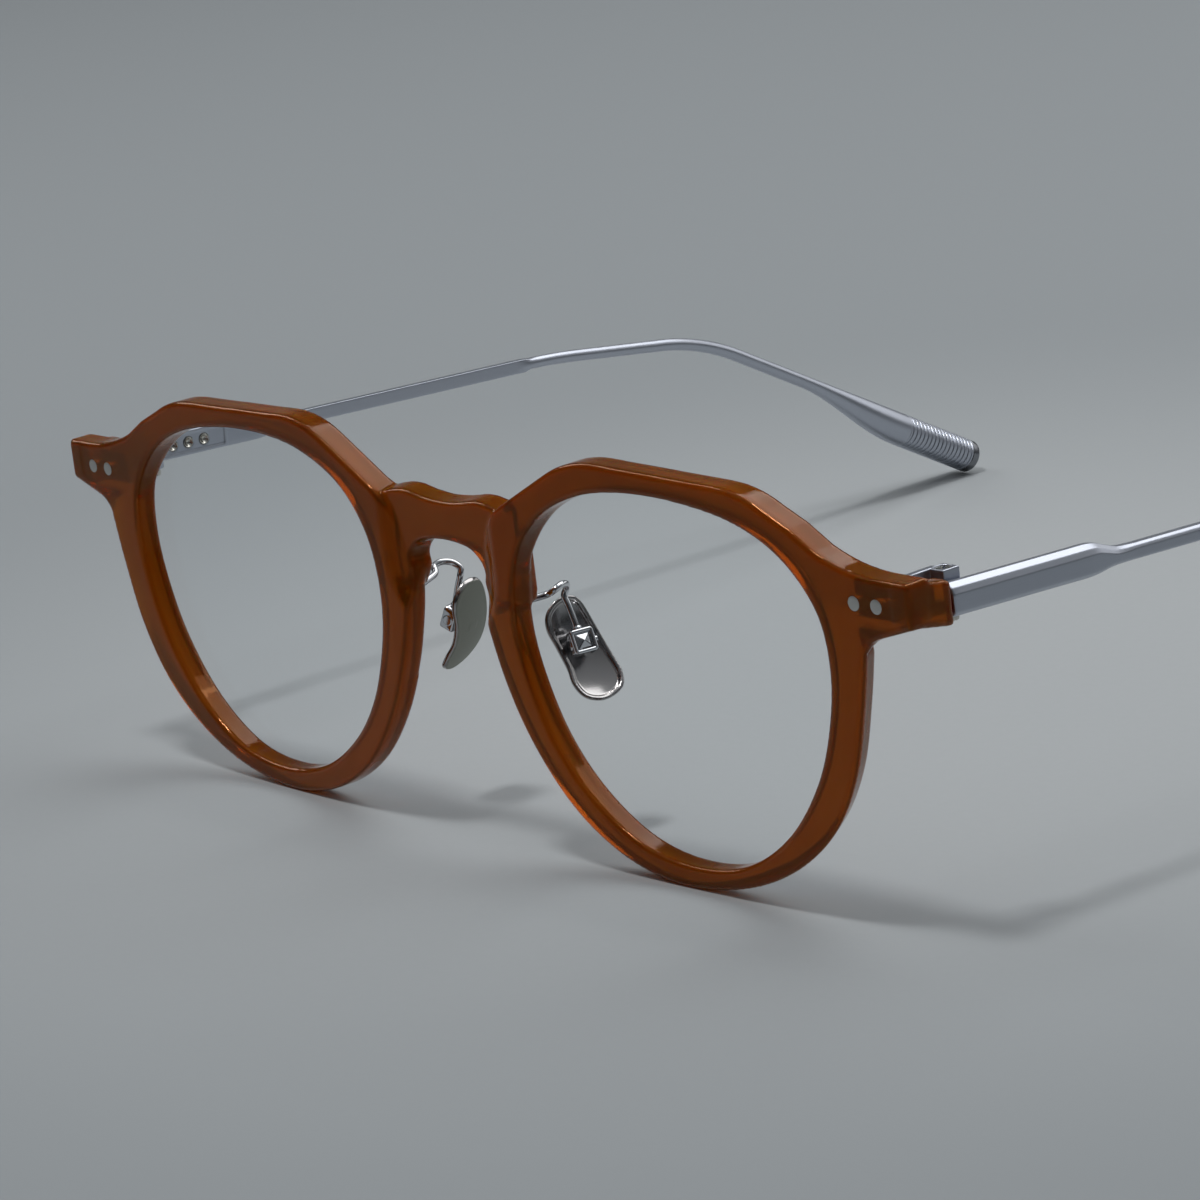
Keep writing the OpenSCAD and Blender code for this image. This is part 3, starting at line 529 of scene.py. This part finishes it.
row = bpy.data.node_groups.new("row_of_pieces", "GeometryNodeTree")
for label, kind in (("Geometry", "Geometry"), ("Piece", "Object"), ("Count", "Int"),
                    ("Step", "Vector"), ("Finish", "Material")):
    row.interface.new_socket(label, in_out="INPUT", socket_type="NodeSocket" + kind)
row.interface.new_socket("Geometry", in_out="OUTPUT", socket_type="NodeSocketGeometry")
sizes = add_node(row, "NodeGroupInput").outputs
line = add_node(row, "GeometryNodeMeshLine", {"Count": sizes["Count"], "Offset": sizes["Step"]})
piece = add_node(row, "GeometryNodeObjectInfo", {"Object": sizes["Piece"]})
copies = add_node(row, "GeometryNodeInstanceOnPoints", {
    "Points": line.outputs["Mesh"], "Instance": piece.outputs["Geometry"]})
whole = add_node(row, "GeometryNodeRealizeInstances", {"Geometry": copies.outputs["Instances"]})
painted = add_node(row, "GeometryNodeSetMaterial", {
    "Geometry": whole.outputs["Geometry"], "Material": sizes["Finish"]})
add_node(row, "NodeGroupOutput", {"Geometry": painted.outputs["Geometry"]})


def laid_in_row(name, piece, count, step, place, material, angle, body, *replaced):
    """Copies of one small piece in a row, for both sides, from a shape in millimetres."""
    model = mesh_piece(name + "_model", *piece, material)
    host = mesh_piece(name + "_host", [(0, 0, 0)], [], material)
    modifier = host.modifiers.new("row", "NODES")
    modifier.node_group = row
    values = {"Piece": model, "Count": count, "Step": step, "Finish": material}
    for item in row.interface.items_tree:
        if item.in_out == "INPUT" and item.name in values:
            modifier[item.identifier] = values[item.name]
    evaluated = host.evaluated_get(bpy.context.evaluated_depsgraph_get())
    flat = bpy.data.meshes.new_from_object(evaluated)
    points = [v.co.copy() for v in flat.vertices]
    faces = [tuple(f.vertices) for f in flat.polygons]
    host.modifiers.remove(modifier)
    for used in (host, model):
        bpy.data.objects.remove(used)
    bpy.data.meshes.remove(flat)
    return paired(name, points, faces, place, material, angle, body, *replaced)


def clouded_metal(name, slot, colour, scale, detail, smooth, rough):
    """A bare metal whose roughness runs between two values in small clouds."""
    made, tree = new_material(name, slot)
    where = add_node(tree, "ShaderNodeTexCoord")
    clouds = add_node(tree, "ShaderNodeTexNoise", {
        "Vector": where.outputs["Object"], "Scale": scale, "Detail": detail})
    dulled = add_node(tree, "ShaderNodeMapRange", {
        "Value": clouds.outputs["Fac"], "To Min": smooth, "To Max": rough})
    metal = add_node(tree, "ShaderNodeBsdfPrincipled", {
        "Base Color": ink(colour), "Metallic": 1.0, "Roughness": dulled.outputs["Result"]})
    add_node(tree, "ShaderNodeOutputMaterial", {"Surface": metal.outputs["BSDF"]})
    return made, clouds, metal


groove_r, pitch, band, ring_count = grip_r - 0.11, 0.725, 0.56, 16
sleeve = turned([(0, 0.02), (grip_r - 0.06, 0.02), (grip_r, 0.08), (grip_r, 0.32), (groove_r, 0.38),
                 (groove_r, 12.02), (grip_r, 12.08), (grip_r, 12.32), (grip_r - 0.06, 12.38), (0, 12.38)])
paired("grip_sleeve", *sleeve, grip_place, plated, 30, "side_temple", "ear_grip")
ring = turned([(groove_r - 0.1, 0), (grip_r - 0.05, 0), (grip_r - 0.01, 0.03), (grip_r, 0.09),
               (grip_r, band - 0.09), (grip_r - 0.01, band - 0.03), (grip_r - 0.05, band),
               (groove_r - 0.1, band)])
laid_in_row("grip_rings", ring, ring_count, (0, 0, pitch),
            grip_place @ Matrix.Translation((0, 0, 0.4 + (pitch - band) / 2)), plated, 30, "side_temple")
# Black nickel over polished brass: a smoky mirror, clouded by handling every
# 0.8 mm or so.
dark_cap, *_ = clouded_metal("dark_nickel_plate", "dark_metal", "#85878c", 1200, 2, 0.16, 0.26)
cap_end, cap_round = 13.7, 0.35
rounded = [(grip_r - cap_round * (1 - math.cos(a)), cap_end - cap_round * (1 - math.sin(a)))
           for a in np.linspace(0, math.pi / 2, 7)]
cap = turned([(0, 12.42), (grip_r - 0.06, 12.42), (grip_r, 12.48)] + rounded
             + [(grip_r - 0.49, cap_end - 0.02), (grip_r - 0.57, cap_end - 0.06), (0, cap_end - 0.06)])
paired("end_cap", *cap, grip_place, dark_cap, 30, "side_temple", "end_cap")

# Rivets: two short titanium pins through each endpiece hold its hinge. Their
# flat ends are ground flush with the acetate and show as dull discs.
first_rivet, rivet_step, rivet_count = (63.8, 0, 34.3), 3.1, 2
# Bare titanium, ground with fine grit: light grey, evenly dull. The grit's
# marks are 0.02 mm, drawn at 0.1 mm to show.
rivet_grey, *_ = clouded_metal("ground_titanium", "satin_titanium", "#c9c8c4", 10000, 1, 0.42, 0.55)
rivet = turned([(0, 0.0), (0.5, 0.005), (0.72, 0.02), (0.8, 0.05), (0.84, 0.1), (0.84, 0.8), (0.65, 0.8),
                (0.65, 4.23), (0.6, 4.28), (0, 4.28)], 40)
laid_in_row("rivets", rivet, rivet_count, (rivet_step, 0, 0),
            rim_place @ Matrix.Translation(first_rivet) @ Matrix.Rotation(-math.pi / 2, 4, "X"),
            rivet_grey, 30, "front", "rivets")


# Hinges: a front leaf of two knuckles riveted behind each endpiece, and a leaf
# screwed to the temple whose knuckle turns between them on a slotted steel screw.
# Each shape is a field of distances on a fine grid, as the front's is.
def block(at, low, high, soft=0.1):
    """Distance field of a box with round edges."""
    out = [np.maximum(l + soft - a, a - h + soft) for a, l, h in zip(at, low, high)]
    return (np.minimum(np.maximum(np.maximum(*out[:2]), out[2]), 0)
            + np.sqrt(sum(np.maximum(o, 0) ** 2 for o in out)) - soft)


def barrel(at, low, high, radius, soft=0.08):
    """Distance field of a cylinder that stands on the third axis, with round edges."""
    side = np.hypot(at[0], at[1]) - radius + soft
    ends = np.maximum(low + soft - at[2], at[2] - high + soft)
    return (np.minimum(np.maximum(side, ends), 0)
            + np.hypot(np.maximum(side, 0), np.maximum(ends, 0)) - soft)


def grid(low, high, cell):
    """Places on a grid between two corners, as three arrays that combine to the whole."""
    ticks = [np.arange(l, h, cell) for l, h in zip(low, high)]
    return np.meshgrid(*ticks, indexing="ij", sparse=True)


hinge_place, knuckle_r = Matrix.Translation((67.7645, -62.3033, 34.2505)), 1.6
low, cell = (-6.3, -5.6, -2.6), 0.09
x, y, z = grid(low, (2.0, 2.0, 2.7), cell)
# The front leaf turns with its rim and leans 2.1 degrees
back = y * math.cos(wrap) - x * math.sin(wrap) + z * math.tan(lean)
over = x * math.cos(wrap) + y * math.sin(wrap)
leaf = block((over, back, z), (-5.95, -5.1, -1.85), (-0.7, -4.32, 2.0))
leaf = joined(leaf, block((over, back, z), (-1.6, -5.0, -1.9), (-0.72, -1.85, 1.95)), 0.25)
for bottom, upper in ((-2.25, -0.9), (0.9, 2.3)):
    leaf = joined(leaf, block((over, back, z), (-1.6, -4.0, bottom), (-0.72, 0, upper)), 0.15)
# Its lower knuckle is round, and its upper one square with a bore for the screw's head
leaf = joined(leaf, barrel((x, y, z), -2.25, -0.9, knuckle_r), 0.15)
leaf = joined(leaf, block((x, y, z), (-1.15, -1.15, 0.9), (1.15, 1.15, 2.3)), 0.15)
leaf = cut(leaf, -barrel((x, y, z), 1.8, 3, 0.88, 0.02), 0.06)
paired("front_leaf", *surface_of(leaf, low, cell), hinge_place, plated, 180, "front", "front_leaf")
low = (-1.9, -1.9, -2.6)
x, y, z = grid(low, (2.4, 13.2, 1.8), cell)
# The temple's leaf lies along the sloping bar, 0.39 mm below the hinge's middle,
# with a shallow hollow and three screw holes
leaf_drop, hole_r, first_hole, screw_step, screw_count = 0.39, 0.72, 4.3, 2.3, 3
back = y * math.cos(slope) - z * math.sin(slope)
up = y * math.sin(slope) + z * math.cos(slope) + leaf_drop
leaf = block((x, back, up), (0.96, 2.0, -1.45), (1.74, 12.4, 1.45))
sunk = np.maximum(block((x, back, up), (-1, 2.5, -1.1), (3, 11.9, 1.1), 0.3), x - 1.05)
leaf = cut(leaf, -sunk, 0.05)
leaf = joined(leaf, block((x, y, z), (1.0, 0, -0.85), (1.6, 2.6, 0.85)), 0.2)
leaf = joined(leaf, barrel((x, y, z), -0.85, 0.85, knuckle_r), 0.2)
for k in range(screw_count):
    leaf = cut(leaf, hole_r - np.hypot(back - first_hole - screw_step * k, up), 0.05)
paired("temple_leaf", *surface_of(leaf, low, cell), hinge_place, plated, 180, "side_temple", "temple_leaf")
# Stainless steel, turned and barely polished: bright, with soft streaks. The
# tool's marks are 0.03 mm, drawn at 0.2 mm to show.
screw_steel, *_ = clouded_metal("turned_screw_steel", "polished_steel", "#c9c6bd", 5000, 2, 0.15, 0.28)
dished = turned([(0, 0.42), (0.22, 0.38), (0.4, 0.24), (0.52, 0.06), (0.6, 0.02), (0.66, 0.04),
                 (0.68, 0.09), (0.68, 0.79), (0, 0.79)], 40)
laid_in_row("leaf_screws", dished, screw_count, (0, screw_step, 0),
            temple_place @ Matrix.Translation((-0.78, 6.227, 0)) @ Matrix.Rotation(math.pi / 2, 4, "Y"),
            screw_steel, 30, "side_temple", "leaf_screws")
low, cell = (-1.2, -1.2, -3.2), 0.06
x, y, z = grid(low, (1.25, 1.25, 2.4), cell)
shank_r, head_r, slot_half, slot_floor, nut_r, flutes = 0.6, 0.85, 0.15, 1.95, 1.1, 16
screw = joined(barrel((x, y, z), -3.0, 2.0, shank_r), barrel((x, y, z), 1.8, 2.2, head_r), 0.03)
screw = cut(screw, np.maximum(slot_half - np.abs(0.8 * x + 0.6 * y), slot_floor - z), 0.03)
paired("hinge_screw", *surface_of(screw, low, cell), hinge_place, screw_steel, 180, "front", "hinge_screw")
nut = barrel((x, y, z), -3.1, -2.27, nut_r, 0.12) + 0.05 * np.cos(flutes * np.arctan2(y, x))
nut = cut(nut, shank_r + 0.02 - np.hypot(x, y), 0.03)
paired("hinge_nut", *surface_of(nut, low, cell), hinge_place, screw_steel, 180, "front", "hinge_nut")

# Nose pads: stamped dishes of polished metal with a rolled rim, their nose side
# blasted to a dull satin, each held on its bent wire arm by a pinned square box.
pin_at, splay, flare = (11, 9.45, 21), math.radians(-15), math.radians(-26)
# Steel wire, plated with bright nickel and chrome: a mirror, clouded by handling
# every 0.7 mm or so.
chrome, *_ = clouded_metal("chromed_steel_wire", "polished_steel", "#d0d1d4", 1500, 2, 0.05, 0.13)
# Nickel, stamped and buffed: a dark warm mirror, clouded every 1.1 mm where it was drawn.
nickel, *_ = clouded_metal("polished_pad_metal", "pad_metal", "#a5a2a1", 900, 3, 0.13, 0.22)
# Glass-bead blasted nickel: an even grey-green satin. The pits are 0.05 mm,
# drawn at 0.12 mm to show.
blasted, pits, metal = clouded_metal("blasted_pad_metal", "pad_metal", "#8d8f86", 8000, 1, 0.5, 0.62)
bump = add_node(blasted.node_tree, "ShaderNodeBump", {
    "Height": pits.outputs["Fac"], "Strength": 0.12, "Distance": 0.0001})
blasted.node_tree.links.new(bump.outputs["Normal"], metal.inputs["Normal"])

# Across from the nose, back and up along a pad, from the pin that it tilts on
lean_place = Matrix.Translation((0, -middle_y, lift)) @ Matrix.Rotation(lean, 4, "X")
pad_place = (lean_place @ Matrix.Translation(pin_at) @ Matrix.Rotation(splay, 4, "Z")
             @ Matrix.Rotation(flare, 4, "Y"))
pad_points = [(0.2, 5.4), (1.5, 4.6), (2.6, 1.7), (3.4, -1.7), (3.7, -4.0), (2.9, -5.8), (0.6, -6.6),
              (-1.4, -5.9), (-2.2, -4.2), (-2.15, -2.2), (-2.6, 0.3), (-3.2, 2.4), (-2.9, 4.0),
              (-1.5, 5.2)]
low, cell = (-2.8, -4.0, -7.4), 0.1
x, y, z = grid(low, (1.2, 4.5, 6.2), cell)
edge = flat_distance(curve_through(pad_points, True, 6), y[0], z[0])[None]
dish_r, half_thick, roll_r = 13.8, 0.2, 0.3
hollow = np.sqrt((x - 11.6) ** 2 + (y - 0.4) ** 2 + (z + 0.6) ** 2) - dish_r
dish = cut(np.abs(hollow) - half_thick, edge + 0.1, 0.1)
dish = joined(dish, np.hypot(edge + roll_r, hollow + 0.12) - roll_r, 0.15)
stem = block((x, y, z), (-2.3, -0.55, -0.4), (0.2, 0.55, 0.4), 0.08)
dish = joined(dish, stem, 0.35)
dish = joined(dish, barrel((x, z, y), -0.55, 0.55, 0.58, 0.05), 0.1)
pads = paired("nose_pad", *surface_of(dish, low, cell), pad_place, nickel, 180, "side_pad", "nose_pad")
# Faces turned to the nose by more than this share are the blasted ones
nose_facing = 0.55
for pad, sign in zip(pads, (1, -1)):
    pad.data.materials.append(blasted)
    to_nose = pad_place.to_3x3() @ Vector((-1, 0, 0))
    to_nose.x *= sign
    for face in pad.data.polygons:
        face.material_index = int(face.normal.dot(to_nose) > nose_facing)

# Each box is a square stud with a raised frame round a low four-sided point
low, cell = (-1.1, -1.8, -1.6), 0.06
x, y, z = grid(low, (1.2, 1.4, 1.7), cell)
square = np.maximum(np.abs(y + 0.25) - 0.05, np.abs(z - 0.02))
box = block((x, y + 0.25, z), (-0.95, -1.4, -1.35), (1.05, 1.4, 1.4), 0.45)
point = np.where(square < 0.95, 0.95 - 0.42 * square, 0.9 - 0.35 * np.abs(square - 1.15))
box = cut(box, x - point, 0.05)
box = cut(box, -np.maximum(np.abs(y) - 0.62, np.maximum(x - 0.6, z - 0.65)), 0.03)
paired("pad_box", *surface_of(box, low, cell), pad_place, chrome, 180, "front", "pad_box")
# A headed pin runs back through the box and the pad's stem
pin = turned([(0, -1.75), (0.5, -1.75), (0.62, -1.67), (0.64, -1.58), (0.64, -1.5), (0.32, -1.5),
              (0.32, 1.52), (0.28, 1.56), (0, 1.56)], 32)
paired("pad_pin", *pin, pad_place @ Matrix.Rotation(-math.pi / 2, 4, "X"), chrome, 30,
       "front", "pad_pin")


def on_pad(out, back, up):
    """A point of a pad's own frame, in the leaning front's millimetres."""
    return lean_place.inverted() @ pad_place @ Vector((out, back, up))


wire_r = 0.38
route = [(8.0, 1.6, 26.5), (8.8, 4.6, 26.8), (9.6, 6.5, 27.0), (10.4, 7.0, 27.5),
         (10.3, 8.0, 27.75), (9.8, 9.1, 27.45), (9.1, 9.6, 26.75)]
# The wire stands off the pad, so that the pad can tilt 5 degrees on its pin
route += [tuple(on_pad(*at)) for at in (
    (0.42, -0.7, 5.3), (0.42, -0.6, 4.2), (0.36, -0.5, 3), (0.26, -0.42, 1.9), (0.12, -0.35, 0.8))]
wire = [Vector(p) for p in curve_through(route, False)]
rings, side_way = [], Vector((1, 0, 0))
for k, p in enumerate(wire):
    ahead = (wire[min(k + 1, len(wire) - 1)] - wire[max(k - 1, 0)]).normalized()
    side_way = (side_way - side_way.dot(ahead) * ahead).normalized()
    other = ahead.cross(side_way)
    rings.append([p + wire_r * (math.cos(a) * side_way + math.sin(a) * other)
                  for a in np.linspace(0, 2 * math.pi, 16, endpoint=False)])
paired("pad_arm", *skin(rings), lean_place, chrome, 60, "front", "pad_arm")
# A collar covers the joint where the wire enters the top of the box
collar = turned([(0, 1.4), (0.56, 1.42), (0.64, 1.58), (0.56, 1.76), (0.36, 1.84), (0, 1.84)], 32)
paired("arm_collar", *collar, pad_place @ Matrix.Translation((0.1, -0.42, 0)), chrome, 40, "front")

low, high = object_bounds()
